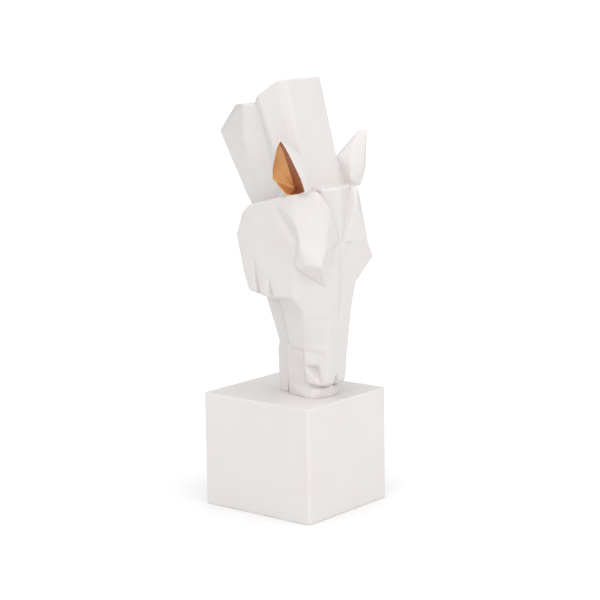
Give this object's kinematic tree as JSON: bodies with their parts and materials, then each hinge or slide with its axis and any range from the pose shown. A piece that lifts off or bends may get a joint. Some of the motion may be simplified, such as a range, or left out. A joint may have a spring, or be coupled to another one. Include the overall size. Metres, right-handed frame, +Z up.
{
  "type": "resin horse head figurine",
  "caption": "Faceted white resin horse head set nose down on a plain rectangular plinth, with bronze-painted hollows in its ears. A shelf ornament.",
  "frame": {"origin": "middle of the plinth's underside", "axes": "+Z up, -Y the way the horse faces, +X the horse's left"},
  "size_m": [0.134, 0.149, 0.4173],
  "materials": {
    "white_resin": "satin white cast resin",
    "plinth_resin": "satin white cast resin"
  },
  "bodies": {
    "root": {"horse_head": "white_resin", "plinth": "plinth_resin"}
  },
  "joints": []
}
